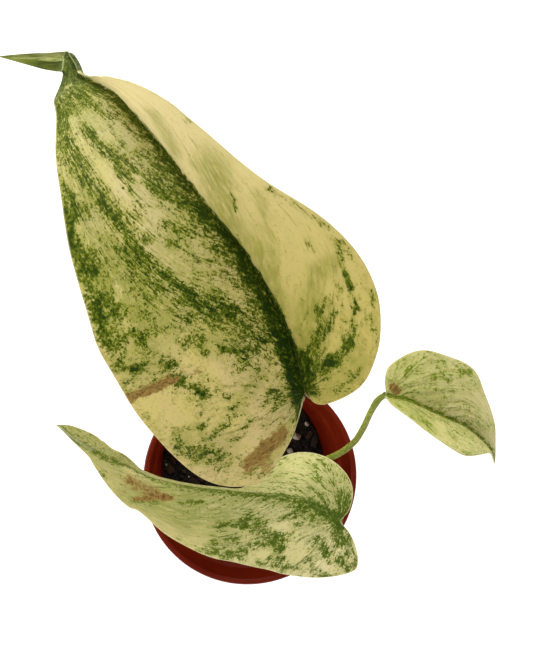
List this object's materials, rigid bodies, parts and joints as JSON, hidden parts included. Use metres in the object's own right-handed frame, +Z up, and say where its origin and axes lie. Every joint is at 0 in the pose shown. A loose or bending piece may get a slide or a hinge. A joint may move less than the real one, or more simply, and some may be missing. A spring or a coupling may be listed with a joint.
{
  "type": "potted variegated monstera plant",
  "caption": "Young variegated monstera with heart-shaped marbled leaves on slender petioles, standing in a small tapered plastic nursery pot of potting mix.",
  "frame": {"origin": "middle of the pot's flat base", "axes": "+Z up along the pot's axis, -Y towards the front, +X to the right; the largest leaf reaches back and to the left"},
  "size_m": [0.125, 0.1373, 0.1398],
  "materials": {
    "pot_plastic": "satin",
    "potting_mix": "matte",
    "stem_skin": "satin",
    "petiole_skin": "satin",
    "blade_cream": "satin",
    "blade_pale_green": "satin"
  },
  "bodies": {
    "root": {"pot": "pot_plastic", "potting_mix": "potting_mix", "stem": "stem_skin", "petiole_large": "petiole_skin", "petiole_medium": "petiole_skin", "petiole_small": "petiole_skin", "leaf_blade_large": "blade_cream", "leaf_blade_medium": "blade_pale_green", "leaf_blade_small": "blade_pale_green"}
  },
  "joints": []
}
